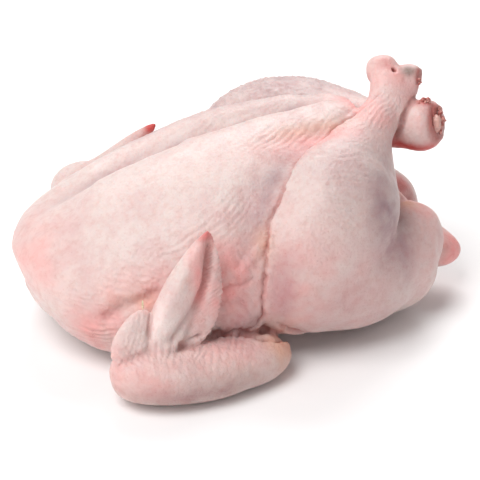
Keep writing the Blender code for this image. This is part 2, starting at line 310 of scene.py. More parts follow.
# Where one fold of skin lies over another: the line of the upper one's edge, how far the lower
# one is sunk along it, how far from the line that reaches, how far the line itself reaches, and how
# often the skin is relaxed there first. The lower one is on the line's left, seen from outside.
LAPS = (
    (  # the near leg over the breast and the flank
        ((-2.8, -119.4, 56), (-1.9, -118.7, 70.2), (0.8, -116.1, 92.3), (2.5, -113.6, 102.4),
         (3.7, -112.1, 109.8), (4.7, -105.7, 121.7), (9.9, -97.5, 135.3), (17.5, -88.8, 146.9),
         (25.4, -79.2, 154.9), (36.7, -65, 162.7), (48.6, -57.1, 167.6), (59.4, -47.9, 172.9),
         (73.2, -38.6, 177), (92.2, -26.8, 181.1), (104.4, -19.9, 185), (114, -15.6, 188.3)),
        2.6, 5, 13, 70,
    ),
    (  # the near forearm over the flank
        ((-52, -132, 45), (-34.7, -122.3, 41.5), (-18.4, -124.6, 41.6), (-3, -127.2, 40.1),
         (8.9, -125.5, 35), (15.2, -119.2, 32.2), (24, -113, 27), (33, -106, 18)),
        5, 7, 11, 0,
    ),
)

# Cuts through the ends of the legs: the middle of each, the way it faces, its radius, its depth
# and the height of the ragged skin round it.
CUTS = (
    ((139.5, 0, 211), (0.1, -0.7, 0.7), 2.2, 4.0, 0.4),
    ((162.4, -1.6, 204.2), (0.92, -0.36, 0.15), 8.0, 1.0, 1.2),
    ((169, -26, 169), (0.8, -0.55, 0.22), 20.0, 0.6, 2.4),
)

# Ragged areas of cut flesh: the middle of each, its half sizes, the size of its lumps and their height.
RAGGED = (
    ((175, -19, 171), (8, 10, 13), 3.4, 1.6),
    ((164, -14, 186), (7, 6, 4), 2.6, 1.3),
    ((161, -4, 199), (4, 5, 7), 2.6, 0.9),
    ((133.5, 7, 214), (6, 6, 4), 2.4, 0.7),
)

# Shreds of flesh at the cuts: the line that they lie along, how far they stray from it, their size
# and their number.
SHREDS = {
    "near_hock_flap": (
        ((160, -4.5, 203), (161.8, -3.5, 199.5), (161, -3.5, 196)),
        0.7, 0.8, 7,
    ),
    "far_hock_flesh": (
        ((157.5, -16, 185.2), (163, -14, 185.2), (168, -14, 183)),
        1.8, 1.5, 14,
    ),
    "far_hock_rim": (
        ((172, -12, 179.5), (176.2, -15.8, 174.2), (176.8, -20.3, 167.8), (174, -25, 161.2)),
        1.4, 1.5, 14,
    ),
}

# Stretches that the skin spans smoothly: the middle of each, its radius and how often it is relaxed.
TAUT_SKIN = (
    ((144, 10, 198), 18, 40),
    ((50, -118, 66), 40, 200),
    ((108, -94, 62), 30, 160),
    ((124, -90, 82), 22, 120),
    ((142, -76, 56), 24, 120),
    ((108, -100, 85), 20, 120),
    ((-94.5, -152, 51), 12, 40),
    ((50, 118, 66), 40, 200),
)

# Fine wrinkles: the middle of each stretch, its half sizes, the direction across the wrinkles,
# their spacing and their depth.
WRINKLES = (
    ((-130, -90, 36), (20, 24, 26), (0.1, 0.2, 0.97), 4.4, 3.2),
    ((-153, -82, 56), (22, 30, 26), (0.1, 0.2, 0.97), 5.4, 1.8),
    ((46, -30, 177), (46, 16, 16), (-0.56, 0.83, 0.03), 5.6, 1.7),
    ((-20, 20, 160), (90, 24, 22), (-0.2, 0.97, 0.1), 5.8, 1.2),
    ((-22, -90, 136), (24, 22, 24), (-0.56, 0.7, 0.4), 5.4, 0.9),
    ((-20, -117, 80), (22, 24, 34), (0.85, 0.0, 0.5), 7.0, 2.2),
    ((128, -22, 186), (13, 16, 14), (-0.61, 0.48, 0.62), 3.8, 1.3),
    ((115, -30, 182), (18, 20, 18), (-0.61, 0.48, 0.62), 4.6, 1.0),
    ((77, -74, 177), (30, 30, 24), (0.2, 0.4, 0.9), 4.6, 0.6),
    ((60, -106, 150), (40, 30, 40), (0.3, 0.1, 0.95), 5.0, 0.8),
    ((-92, -154, 53), (18, 16, 12), (0.97, -0.22, 0.0), 5.4, 1.3),
    ((-40, -128, 41), (50, 24, 12), (0.95, -0.22, -0.25), 6.0, 1.5),
    ((-55, -158, 38), (50, 22, 14), (0.9, -0.2, 0.35), 7.0, 0.9),
    ((-60, -168, 20), (60, 20, 14), (0.15, 0.3, 0.95), 5.0, 0.8),
    ((-124, -152, 46), (18, 16, 20), (0.6, 0.2, 0.78), 4.4, 1.8),
    ((-178, 0, 56), (26, 70, 30), (0.1, 0.0, 1.0), 5.0, 1.2),
    ((-60, 165, 45), (60, 30, 26), (0.95, 0.25, 0.1), 6.5, 1.4),
    ((149, -68, 88), (26, 26, 30), (0.97, -0.22, 0.1), 6.0, 1.0),
    ((196, -14, 38), (20, 20, 20), (0.1, 0.99, 0.0), 4.6, 0.5),
    ((-110, -103, 86), (50, 22, 26), (0.45, 0.3, 0.85), 5.6, 1.3),
    ((-60, -80, 120), (60, 40, 40), (-0.4, 0.8, 0.45), 6.0, 0.7),
)

# Where the pimples stand out: the middle of each area, its half sizes and how much it adds to their
# height.
PIMPLES = (
    ((60, 90, 150), (80, 60, 50), 3.4),
    ((90, -60, 140), (50, 50, 45), 0.6),
    ((-60, -140, 40), (70, 40, 30), 0.9),
    ((-60, 140, 40), (70, 40, 30), 0.9),
    ((-120, -95, 70), (50, 50, 40), 0.9),
    ((20, -30, 175), (60, 20, 20), 0.6),
)

# The beads of fat at the edge of the near leg: their middle and half sizes.
FAT_BEADS = ((6.5, -108, 116), (6, 8, 16))

# Areas of colour under each mask, in the order in which they are laid on: their middle, their half
# sizes and their strength.
PATCHES = {
    # Painted light: these patches make the hand, the forearm's top, the near shank and hock and the top of
    # the breast paler, where more light should fall on them.
    "light": (
        ((-94, -146, 78), (9, 12, 30), 0.6),
        ((-52, -135, 85), (6, 12, 40), 0.6),
        ((-40, -140, 44), (60, 24, 9), 0.5),
        ((130, -20, 190), (22, 22, 22), 0.7),
        ((152, 0, 200), (12, 14, 16), 0.7),
        ((-20, -20, 158), (110, 16, 40), 0.4),
    ),
    # The legs' dark meat showing through the skin, and painted shade on the drumstick's dark side, the flank
    # and the forearm's underside.
    "mauve": (
        ((85, -60, 140), (50, 50, 45), 0.45),
        ((120, -80, 100), (30, 50, 50), 0.55),
        # painted shade on the near drumstick's right side
        ((104, -90, 120), (20, 40, 50), 0.9),
        ((60, 90, 150), (80, 60, 50), 0.55),
        ((70, -110, 50), (60, 50, 40), 0.35),
        # painted shade on the flank, in the dark gap between the near wing and the body
        ((-20, -115, 50), (22, 30, 18), 0.6),
        ((14, -122, 75), (12, 30, 36), 0.75),
        # painted shade on the underside of the near forearm
        ((-60, -168, 18), (70, 18, 14), 0.7),
    ),
    "flush": (
        ((-172, -30, 85), (28, 45, 24), 0.45),
        ((-100, -106, 80), (60, 30, 20), 0.4),
        ((-135, -90, 45), (30, 30, 30), 0.55),
        ((-30, -116, 90), (30, 30, 34), 0.8),
        ((104, -2, 180), (14, 24, 18), 0.9),
        ((60, -44, 172), (45, 14, 20), 0.6),
        ((-130, -145, 40), (24, 30, 30), 0.3),
        ((150, -30, 90), (26, 34, 26), 0.6),
        ((138, 4, 196), (26, 26, 26), 0.6),
        ((165, -14, 162), (20, 24, 24), 0.45),
        ((30, -120, 75), (40, 40, 60), 0.4),
        ((80, -115, 70), (40, 40, 50), 0.25),
        ((-47, -136, 86), (8, 14, 34), 0.6),
        ((118, -24, 184), (24, 24, 24), 0.55),
        ((157, -26, 168), (14, 12, 14), 0.35),
        ((150, -50, 78), (26, 30, 26), 0.5),
        ((-60, -134, 95), (9, 14, 34), 0.9),
        ((196, -12, 40), (22, 34, 26), 0.9),
        ((-40, -140, 40), (60, 30, 14), 0.4),
        ((-105, -160, 40), (30, 30, 20), 0.35),
        ((150, -68, 70), (26, 30, 30), 0.4),
    ),
    "fat": (
        ((145, -34, 104), (18, 12, 4), 0.8),
        ((10, -126, 26), (18, 16, 18), 0.8),
        ((-105, -107, 74), (20, 16, 8), 0.3),
        ((60, -30, 178), (34, 8, 14), 0.35),
        ((-70, -150, 20), (50, 20, 14), 0.35),
        ((0, -106, 114), (10, 14, 16), 0.35),
    ),
    "raw": (
        ((155, -22, 147), (30, 26, 8), 0.9),
        # the far hock's dark red lower side, with painted shadow from the near leg laid into it
        ((142, -10, 148), (16, 20, 12), 0.8),
        ((-50, -121, 140), (10, 12, 14), 0.75),
        ((-52.5, -128, 122), (6, 12, 18), 0.6),
        ((-46, 107, 132), (18, 9, 14), 1.0),
        ((206, 2, 33), (8, 20, 20), 0.25),
        ((145, 6, 104), (22, 18, 22), 0.9),
        ((150, 16, 98), (18, 12, 16), 0.6),
        ((133.5, 7, 214), (6, 7, 6), 0.55),
        ((175, -19, 172), (8.5, 10, 13), 0.55),
        ((164, -14, 186), (7, 6, 4), 0.9),
        ((168, -23.5, 176), (2, 5, 6), 0.9),
        ((161, -4, 199), (3.5, 4.5, 6), 0.6),
    ),
    # a grey-brown patch painted on the top of the near leg's outer knob
    "cap": (
        ((153, 0, 209.5), (7, 8, 5), 1.0),
    ),
}

# Bands of colour: the mask that each adds to, the line that it follows, its half width and its
# strength.
BANDS = (
    (  # painted shade at the bottom of the breast's valley
        "mauve",
        ((-150, 18, 118), (-94, 23, 126), (-44, 23, 143), (17, 16, 160), (60, 12, 176)),
        9, 0.5,
    ),
    (  # painted shade on the breast beside the near leg
        "mauve",
        ((-20, -116, 70), (-15, -111, 100), (-6, -98, 130), (10, -79, 151), (33, -56, 168),
         (60, -37, 176)),
        11, 0.5,
    ),
    (  # a painted highlight along the crest of the near lobe
        "light",
        ((-111.1, 4, 126.3), (-60.3, 6, 145.9), (-4.7, 0, 162.6), (75.5, -1, 181.8)),
        6, 0.8,
    ),
    (  # a painted highlight along the crest of the far lobe
        "light",
        FAR_CREST,
        7, 0.6,
    ),
    (  # painted shade on the far slope of the breast
        "mauve",
        ((-110, 70, 112), (-44, 66, 138), (17, 56, 155), (70, 36, 172)),
        14, 0.45,
    ),
)


def to_linear(code):
    """A hex sRGB colour as linear RGBA."""
    channels = [int(code[i : i + 2], 16) / 255 for i in (1, 3, 5)]
    return (*(c / 12.92 if c <= 0.04045 else ((c + 0.055) / 1.055) ** 2.4 for c in channels), 1.0)


def smooth_values(knots, values, at):
    """The rows of values on a smooth curve through knots, read at each of at."""
    slopes = np.gradient(values, knots, axis=0)
    span = np.clip(np.searchsorted(knots, at, side="right") - 1, 0, len(knots) - 2)
    width = (knots[span + 1] - knots[span])[:, None]
    u = (at - knots[span])[:, None] / width
    return (
        (2 * u**3 - 3 * u**2 + 1) * values[span]
        + (u**3 - 2 * u**2 + u) * width * slopes[span]
        + (3 * u**2 - 2 * u**3) * values[span + 1]
        + (u**3 - u**2) * width * slopes[span + 1]
    )


def metres(lengths):
    """Lengths that are given in millimetres."""
    return np.array(lengths) / 1000


def power(value, exponent):
    return np.sign(value) * np.abs(value) ** exponent


def unit(vectors):
    return vectors / np.linalg.norm(vectors, axis=-1, keepdims=True)


def read_points(obj, what="co"):
    points = np.empty(len(obj.data.vertices) * 3, np.float32)
    obj.data.vertices.foreach_get(what, points)
    return points.reshape(-1, 3).astype(float)


def move_points(obj, points):
    obj.data.vertices.foreach_set("co", points.astype(np.float32).ravel())
    obj.data.update()


def new_object(name, bm):
    mesh = bpy.data.meshes.new(name)
    bm.to_mesh(mesh)
    bm.free()
    return bpy.data.objects.new(name, mesh)


def ball(name, rings, sides):
    """A unit sphere with its poles on Z, as an object and as points."""
    bm = bmesh.new()
    bmesh.ops.create_uvsphere(bm, u_segments=sides, v_segments=rings, radius=1.0)
    obj = new_object(name, bm)
    return obj, read_points(obj)


def muscle(name, rows, up=(0, 0, 1), blunt=4):
    """A ball drawn out along the line in rows. blunt sets how far its ends stay full."""
    obj, sphere = ball(name, 48, 40)
    rows = metres(rows)
    knots = np.linspace(0, 1, len(rows))
    along = (sphere[:, 2] + 1) / 2
    place = smooth_values(knots, rows, along)
    ahead = smooth_values(knots, rows[:, :3], np.clip(along + 0.01, 0, 1))
    behind = smooth_values(knots, rows[:, :3], np.clip(along - 0.01, 0, 1))
    forward = unit(ahead - behind)
    side = unit(np.cross(up, forward))
    rise = np.cross(forward, side)
    angle = np.arctan2(sphere[:, 1], sphere[:, 0])
    fullness = np.sqrt(1 - np.abs(sphere[:, 2]).clip(0, 1) ** blunt)
    across = (np.cos(angle) * fullness * place[:, 3])[:, None]
    upward = (np.sin(angle) * fullness * place[:, 4])[:, None]
    move_points(obj, place[:, :3] + side * across + rise * upward)
    return obj


def mirrored(rows):
    """The same muscle on the bird's other side."""
    return [(x, -y, *rest) for x, y, *rest in rows]


def trunk(name):
    """Breast, back and belly, whose cross-section above its widest height differs from that below."""
    obj, sphere = ball(name, 96, 96)
    sections = np.array(TRUNK_SECTIONS)
    sections[:, :5] = metres(sections[:, :5])
    valley = metres(VALLEY_SECTIONS)
    first, last = sections[[0, -1], 0]
    x = first + (last - first) * (sphere[:, 2] + 1) / 2
    top, bottom, half_width, widest, above, below = smooth_values(sections[:, 0], sections[:, 1:], x).T
    fullness = np.sqrt(1 - np.abs(sphere[:, 2]).clip(0, 1) ** 24)
    angle = np.arctan2(sphere[:, 1], sphere[:, 0])
    upper = np.sin(angle) > 0
    squareness = np.where(upper, above, below)
    height = np.where(upper, top - widest, widest - bottom)
    y = power(np.cos(angle), 2 / squareness) * half_width * fullness
    z = widest + power(np.sin(angle), 2 / squareness) * height * fullness
    middle, depth, width = smooth_values(valley[:, 0], valley[:, 1:], x.clip(*valley[[0, -1], 0])).T
    z -= np.where(upper, depth * np.exp(-(((y - middle) / width) ** 2)), 0)
    move_points(obj, np.column_stack([x, y, z]))
    return obj


def muscles():
    flat_to_near = (0, -1, 0)
    return [
        muscle("near drumstick", NEAR_DRUMSTICK, flat_to_near, blunt=12),
        muscle("near inner knob", NEAR_INNER_KNOB, blunt=3),
        muscle("near outer knob", NEAR_OUTER_KNOB, blunt=3),
        muscle("far drumstick", FAR_DRUMSTICK, blunt=12),
        muscle("near thigh", THIGH, blunt=5),
        muscle("far thigh", mirrored(THIGH), blunt=5),
        muscle("near hip", NEAR_HIP, blunt=5),
        muscle("far hip", FAR_HIP, blunt=5),
        muscle("tail", TAIL, blunt=5),
        muscle("near upper arm", UPPER_ARM),
        muscle("far upper arm", mirrored(UPPER_ARM)),
        muscle("near flank", NEAR_FLANK, blunt=5),
        muscle("far flank", mirrored(NEAR_FLANK), blunt=5),
        muscle("near forearm", NEAR_FOREARM, blunt=8),
        muscle("near hand", NEAR_HAND, flat_to_near, blunt=6),
        muscle("near feather edge", NEAR_FEATHER_EDGE, flat_to_near, blunt=6),
        muscle("near thumb", NEAR_THUMB, flat_to_near, blunt=5),
        muscle("far forearm", FAR_FOREARM, blunt=5),
        muscle("far hand", FAR_HAND, flat_to_near, blunt=6),
        muscle("neck skin", NECK_SKIN),
    ]


def apply_modifiers(obj):
    """The object's mesh as its modifiers leave it."""
    graph = bpy.context.evaluated_depsgraph_get()
    mesh = bpy.data.meshes.new_from_object(obj.evaluated_get(graph))
    old = obj.data
    obj.modifiers.clear()
    obj.data = mesh
    bpy.data.meshes.remove(old)
    mesh.name = obj.name


def join(base, others):
    """Fuses others onto base by one union over a collection, and removes them."""
    collection = bpy.data.collections.new("muscles")
    bpy.context.scene.collection.children.link(collection)
    for obj in others:
        collection.objects.link(obj)
    union = base.modifiers.new("muscles", "BOOLEAN")
    union.operation = "UNION"
    union.operand_type = "COLLECTION"
    union.collection = collection
    union.solver = "EXACT"
    apply_modifiers(base)
    for obj in list(collection.objects):
        bpy.data.objects.remove(obj)
    bpy.data.collections.remove(collection)


class Skin:
    """The skin's points, and the sculpting strokes that move them."""

    def __init__(self, obj, voxel):
        self.obj = obj
        self.voxel = voxel
        self.points = read_points(obj)
        edges = np.empty(len(obj.data.edges) * 2, np.int32)
        obj.data.edges.foreach_get("vertices", edges)
        a, b = edges.reshape(-1, 2).T
        self.ends = np.concatenate([a, b])
        self.others = np.concatenate([b, a])
        self.count = np.bincount(self.ends, minlength=len(self.points))

    def write(self):
        move_points(self.obj, self.points)

    def normals(self):
        self.write()
        return read_points(self.obj, "normal")

    def average(self, values):
        """The average over each point's neighbours."""
        size = len(self.points)
        columns = [np.bincount(self.ends, column[self.others], size) / self.count for column in values.T]
        return np.column_stack(columns)

    def relax(self, weight, rounds):
        """Relaxes the points whose weight is above nothing."""
        moving = weight > 0.01
        keep = moving[self.ends]
        ends, others = self.ends[keep], self.others[keep]
        number = np.cumsum(moving) - 1
        rows = number[ends]
        size = int(moving.sum())
        share = 0.5 * weight[moving] / self.count[moving]
        for _ in range(rounds):
            gap = self.points[others] - self.points[ends]
            pull = np.column_stack([np.bincount(rows, gap[:, k], size) for k in range(3)])
            self.points[moving] += share[:, None] * pull

    def press(self, depth):
        """Moves each point inwards by its depth."""
        self.points -= self.normals() * depth[:, None]

    def hollows(self, radius):
        """1 where two forms meet in a fold as tight as radius, 0 where the skin is flat or bulges."""
        hollow = 2 * ((self.average(self.points) - self.points) * self.normals()).sum(axis=1) / self.voxel**2
        for _ in range(8):
            hollow = self.average(hollow[:, None])[:, 0]
        return (hollow * radius).clip(0, 1)


def distance_to_line(points, line, normals=None):
    """Each point's distance to the nearest stretch of an open line, which is given in millimetres. With
    the points' normals, it is measured along the skin, with a minus on the line's right."""
    line = metres(line)
    nearest = np.full(len(points), np.inf)
    signed = np.full(len(points), np.inf)
    for start, end in zip(line[:-1], line[1:]):
        run = end - start
        along = ((points - start) @ run / (run @ run)).clip(0, 1)
        local = points - start - along[:, None] * run
        gap = np.linalg.norm(local, axis=1)
        if normals is not None:
            side = (np.cross(normals, unit(run)) * local).sum(axis=1)
            signed = np.where(gap < nearest, side, signed)
        nearest = np.minimum(nearest, gap)
    return nearest if normals is None else (nearest, signed)


def patch(points, middle, half_sizes):
    """1 at the middle of an ellipsoid given in millimetres, falling smoothly to 0 well outside it."""
    return np.exp(-(((points - metres(middle)) / metres(half_sizes)) ** 2).sum(axis=1))


def scattered(cells, seed):
    """A repeatable number from 0 to 1 for each cell of a lattice."""
    x, y, z = cells.astype(np.int64).T
    mixed = (x * 73856093) ^ (y * 19349663) ^ (z * 83492791) ^ (seed * 2654435761)
    mixed = (mixed ^ (mixed >> 13)) * 1274126177 & 0xFFFFFFFF
    mixed = (mixed ^ (mixed >> 16)) * 668265263 & 0xFFFFFFFF
    return ((mixed ^ (mixed >> 15)) & 0xFFFFFF) / 0xFFFFFF


def noise(points, size, seed):
    """Smooth noise from -1 to 1 whose bumps are about size across."""
    at = points / size
    cell = np.floor(at)
    part = at - cell
    part = part * part * (3 - 2 * part)
    total = np.zeros(len(points))
    for corner in np.ndindex(2, 2, 2):
        weight = np.prod(np.where(corner, part, 1 - part), axis=1)
        total += weight * scattered(cell + corner, seed)
    return 2 * total - 1


def nearest_seed(points, size, seed):
    """Each point's distance to the nearest of a scatter of seeds about size apart, divided by size."""
    at = points / size
    cell = np.floor(at)
    nearest = np.full(len(points), 9.0)
    for step in np.ndindex(3, 3, 3):
        neighbour = cell + step - 1
        place = np.column_stack([scattered(neighbour, seed + k) for k in range(3)])
        gap = ((neighbour + 0.15 + 0.7 * place - at) ** 2).sum(axis=1)
        nearest = np.minimum(nearest, gap)
    return np.sqrt(nearest)


def fill_creases(skin):
    """Draws the skin tight over the valleys in which one fold lies over another."""
    for line, _, _, spread, rounds in LAPS:
        gap = distance_to_line(skin.points, line)
        skin.relax(np.exp(-((gap / (0.8 * spread * MM)) ** 4)), rounds)


def draw_folds(skin, deepening, radius):
    depth = deepening * skin.hollows(radius)
    for line, _, _, spread, _ in LAPS:
        depth *= 1 - np.exp(-((distance_to_line(skin.points, line) / (spread * MM)) ** 4))
    wander = noise(skin.points, 0.012, 11)
    for line, half_width, line_depth in FOLDS:
        gap = distance_to_line(skin.points, line) / (half_width * MM * (1 + 0.25 * wander))
        depth += line_depth * MM * (1 + 0.2 * wander) * np.exp(-(gap**2))
    skin.press(depth)


def draw_laps(skin):
    """Sinks the skin on one side of each line, so that the other side stands over it with a sharp edge.
    Returns how far each point is in the groove between the two, which the skin's colour darkens as painted
    shade."""
    edge_softness = 0.0006
    lip_place, lip_width, lip_height = -0.0030, 0.0028, 0.0008
    groove_place, groove_width, groove_depth = 0.0006, 0.0011, 0.0020
    normals = skin.normals()
    depth = np.zeros(len(skin.points))
    dark = np.zeros(len(skin.points))
    for line, line_depth, reach, spread, _ in LAPS:
        gap, side = distance_to_line(skin.points, line, normals)
        side = side + 0.0018 * noise(skin.points, 0.010, 17) + 0.0014 * noise(skin.points, 0.0045, 18)
        fade = np.exp(-((gap / (spread * MM)) ** 4))
        lower = np.exp(-(side.clip(0) / (reach * MM))) / (1 + np.exp(-(side / edge_softness).clip(-30, 30)))
        lip = np.exp(-(((side - lip_place) / lip_width) ** 2))
        groove = np.exp(-(((side - groove_place) / groove_width) ** 2))
        depth += fade * (line_depth * MM * lower - lip_height * lip + groove_depth * groove)
        # how far each point is in the groove's painted shade, varied by noise
        dark = np.maximum(dark, fade * groove * (0.8 + 0.4 * noise(skin.points, 0.006, 19)))
    skin.press(depth)
    return dark


def draw_cuts(skin):
    """A hollow with a ragged rim where each foot was cut off. Returns how far each point is inside one."""
    inside = np.zeros(len(skin.points))
    for seed, (middle, facing, radius, depth, rim) in enumerate(CUTS):
        facing = unit(np.array(facing))
        local = skin.points - metres(middle)
        along = local @ facing
        aside = np.linalg.norm(local - along[:, None] * facing, axis=1)
        near = np.abs(along) < 1.3 * radius * MM
        share = aside / (radius * MM * (1 + 0.16 * noise(skin.points, 0.007, 40 + seed)))
        face = near / (1 + np.exp((-(along + 0.003) / 0.0008).clip(-30, 30)))
        hollow = face / (1 + np.exp(((share - 0.92) * 14).clip(-30, 30)))
        ragged = 0.45 + 0.55 * noise(skin.points, 0.005, 60 + seed)
        lip = near * np.exp(-(((share - 1.05) / 0.13) ** 2)) * ragged
        lumps = 0.35 * noise(skin.points, 0.0045, 80 + seed)
        beyond = near * (share < 1.6) * along.clip(0)
        move = (rim * lip - depth * hollow * (1 + lumps)) * MM - 0.9 * beyond
        skin.points += move[:, None] * facing
        inside = np.maximum(inside, hollow)
    return inside


def draw_wrinkles(skin, strength):
    """Rounded ridges with narrow valleys between them, bent by noise and faded at the ends."""
    depth = np.zeros(len(skin.points))
    for seed, (middle, half_sizes, across, spacing, wrinkle_depth) in enumerate(WRINKLES):
        spacing *= MM
        near = patch(skin.points, middle, half_sizes)
        inside = near > 0.02
        points = skin.points[inside]
        phase = (points - metres(middle)) @ unit(np.array(across)) / spacing
        phase += 0.9 * noise(points, 5 * spacing, seed) + 0.35 * noise(points, 2 * spacing, seed + 50)
        ridge = np.abs(np.sin(np.pi * phase)) ** 0.7
        uneven = 0.65 + 0.35 * noise(points, 4 * spacing, seed + 90)
        depth[inside] += wrinkle_depth * MM * near[inside] * uneven * (0.6 - ridge)
    skin.press(depth * strength)


def draw_pimples(skin, spacing, height):
    """The small bumps that the plucked feathers leave, larger on the legs and wings, and the beads of
    fat at the edge of the near leg."""
    points = skin.points
    strength = 0.24 + 0.22 * noise(points, 0.05, 7)
    for middle, half_sizes, amount in PIMPLES:
        strength = strength + amount * patch(points, middle, half_sizes)
    bump = (1 - nearest_seed(points, spacing, 3) / 0.62).clip(0, 1) ** 1.3
    depth = -height * strength.clip(0, 3.2) * bump
    near = patch(points, *FAT_BEADS)
    bead = (1 - nearest_seed(points, 0.0042, 4) / 0.62).clip(0, 1) ** 0.8
    depth -= 0.0022 * near * bead
    skin.press(depth)


def draw_lumps(skin):
    """The unevenness of fat and muscle under the skin, and of the cut flesh."""
    points = skin.points
    depth = 0.0009 * noise(points, 0.030, 21) + 0.0005 * noise(points, 0.013, 22)
    for seed, (middle, half_sizes, size, height) in enumerate(RAGGED):
        depth += height * MM * patch(points, middle, half_sizes) * noise(points, size * MM, 70 + seed)
    skin.press(depth)


def draw_feather_edges(skin):
    """Flutes across the feather edge of the near hand, which scallop its border, and along the thumb."""
    points = skin.points
    line = np.array(NEAR_FEATHER_EDGE)[:, :3]
    edge = metres(line)
    run = unit(edge[-1] - edge[0])
    across = unit(np.cross((0, 1, 0), run))
    local = points - edge[0]
    along, aside = local @ run, local @ across
    near = np.exp(-((distance_to_line(points, line) / 0.022) ** 6)) * (along > -0.004)
    outer = ((aside + 0.006) / 0.014).clip(0, 1)
    phase = (along - 0.9 * aside) / 0.0042 + 0.45 * noise(points, 0.012, 45)
    flutes = np.abs(np.sin(np.pi * phase)) ** 0.8 - 0.6
    skin.press(-0.0011 * near * outer * flutes)
    border = near * ((aside - 0.006) / 0.012).clip(0, 1)
    skin.points += (0.0006 * border * flutes)[:, None] * across
    line = np.array(NEAR_THUMB)[:, :3]
    thumb = metres(line)
    run = unit(thumb[-1] - thumb[0])
    aside = (skin.points - thumb[0]) @ unit(np.cross(run, (0, 1, 0)))
    near = np.exp(-((distance_to_line(skin.points, line) / 0.012) ** 4))
    skin.press(0.0007 * near * (0.6 - np.abs(np.sin(np.pi * aside / 0.0040)) ** 0.8))


def write_masks(obj):
    """The colour masks, as attributes of the mesh."""
    points = read_points(obj)
    uneven = 1 + 0.45 * noise(points, 0.016, 31) + 0.3 * noise(points, 0.006, 32)
    for mask, areas in PATCHES.items():
        value = np.zeros(len(points))
        for middle, half_sizes, strength in areas:
            value = np.maximum(value, strength * patch(points, middle, half_sizes))
        for name, line, half_width, strength in BANDS:
            if name == mask:
                gap = distance_to_line(points, line) / (half_width * MM)
                value = np.maximum(value, strength * np.exp(-(gap**2)))
        write_attribute(obj, mask, value * uneven)


def write_attribute(obj, name, values):
    attribute = obj.data.attributes.new(name, "FLOAT", "POINT")
    attribute.data.foreach_set("value", values.clip(0, 1).astype(np.float32))


def to_row_frame(obj):
    """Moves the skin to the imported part's place, and returns the move."""
    points = read_points(obj)
    low, high = (np.array(corner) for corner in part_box("turkey"))
    move = (low + high) / 2 - (points.min(axis=0) + points.max(axis=0)) / 2
    move[2] = 0
    move_points(obj, points + move)
    return move


def node(tree, kind, settings=None, **links):
    """Adds a node. settings are its properties; links are its inputs, as values or as sockets, by name, or
    by number as i0, i1 and so on."""
    new = tree.nodes.new(kind)
    for name, value in (settings or {}).items():
        setattr(new, name, value)
    for name, value in links.items():
        numbered = name[0] == "i" and name[1:].isdigit()
        socket = new.inputs[int(name[1:]) if numbered else name.replace("_", " ")]
        if isinstance(value, bpy.types.NodeSocket):
            tree.links.new(value, socket)
        else:
            socket.default_value = value
    return new


def new_material(name):
    """An empty material, its node tree and the place of each point on the piece."""
    material = bpy.data.materials.new(name)
    material.use_nodes = True
    material.node_tree.nodes.clear()
    return material, material.node_tree, node(material.node_tree, "ShaderNodeTexCoord").outputs["Object"]


def skin_material(colours):
    """Raw poultry skin: thin, translucent and slightly moist, so light glows through it with a soft sheen."""
    material, tree, place = new_material("raw poultry skin")
    noises = {}
    for name, size, detail, roughness in (
        ("cloud", 34, 4.0, 0.6),
        ("mottle", 7, 3.0, 0.65),
        ("grain", 1.6, 3.0, 0.7),
    ):
        links = {"Scale": 1 / (size * MM), "Detail": detail, "Roughness": roughness}
        noises[name] = node(tree, "ShaderNodeTexNoise", Vector=place, **links).outputs["Fac"]
    pits = node(tree, "ShaderNodeTexVoronoi", Vector=place, Scale=1 / (3.6 * MM), Randomness=0.85)
    beads = node(
        tree,
        "ShaderNodeTexVoronoi",
        {"feature": "SMOOTH_F1"},
        Vector=place,
        Scale=1 / (3.0 * MM),
        Smoothness=0.8,
        Randomness=0.9,
    )
    drawn = node(tree, "ShaderNodeMapping", Vector=place, Rotation=(0.0, 0.0, 0.35), Scale=(2.4, 1.0, 1.2))
    lines = node(
        tree, "ShaderNodeTexNoise", Vector=drawn.outputs[0], Scale=1 / (6 * MM), Detail=3.0, Roughness=0.6
    )
    pink = node(tree, "ShaderNodeMapRange", Value=noises["cloud"], From_Min=0.44, From_Max=0.76)
    mottle = noises["mottle"]
    blotch = node(tree, "ShaderNodeMapRange", Value=mottle, From_Min=0.46, From_Max=0.78, To_Max=0.35)
    pit = pits.outputs["Distance"]
    pore = node(tree, "ShaderNodeMapRange", Value=pit, From_Max=0.22, To_Min=0.30, To_Max=0.0)
    moisture = node(tree, "ShaderNodeMapRange", Value=mottle, To_Min=0.36, To_Max=0.58)
    layers = [("MIX", pink.outputs[0], colours.pink)]
    # Among the masks laid on here, one paints highlights, one paints the shade in creases, and one paints
    # both the legs' dark meat and shade.
    for mask in (*PATCHES, "crease", "cut"):
        amount = node(tree, "ShaderNodeAttribute", {"attribute_name": mask}).outputs["Fac"]
        layers.append(("MIX", amount, getattr(colours, mask)))
    layers.append(("MULTIPLY", blotch.outputs[0], colours.blotch))
    layers.append(("MULTIPLY", pore.outputs[0], colours.pore))
    colour = to_linear(colours.pale)
    for blend, amount, tint in layers:
        settings = {"data_type": "RGBA", "blend_type": blend}
        colour = node(tree, "ShaderNodeMix", settings, i0=amount, i6=colour, i7=to_linear(tint)).outputs[2]
    height = 0.0
    for relief, share in (
        (noises["grain"], 0.7),
        (beads.outputs["Distance"], -0.8),
        (lines.outputs["Fac"], 0.9),
    ):
        settings = {"operation": "MULTIPLY_ADD"}
        height = node(tree, "ShaderNodeMath", settings, i0=relief, i1=share, i2=height).outputs[0]
    bump = node(tree, "ShaderNodeBump", Strength=0.65, Distance=0.9 * MM, Height=height)
    shader = node(
        tree,
        "ShaderNodeBsdfPrincipled",
        Base_Color=colour,
        Roughness=moisture.outputs[0],
        IOR=1.42,
        Subsurface_Weight=0.30,
        Subsurface_Radius=(1.0, 0.42, 0.32),
        Subsurface_Scale=0.0035,
        Coat_Weight=0.10,
        Coat_Roughness=0.28,
        Normal=bump.outputs[0],
    )
    node(tree, "ShaderNodeOutputMaterial", Surface=shader.outputs[0])
    return material


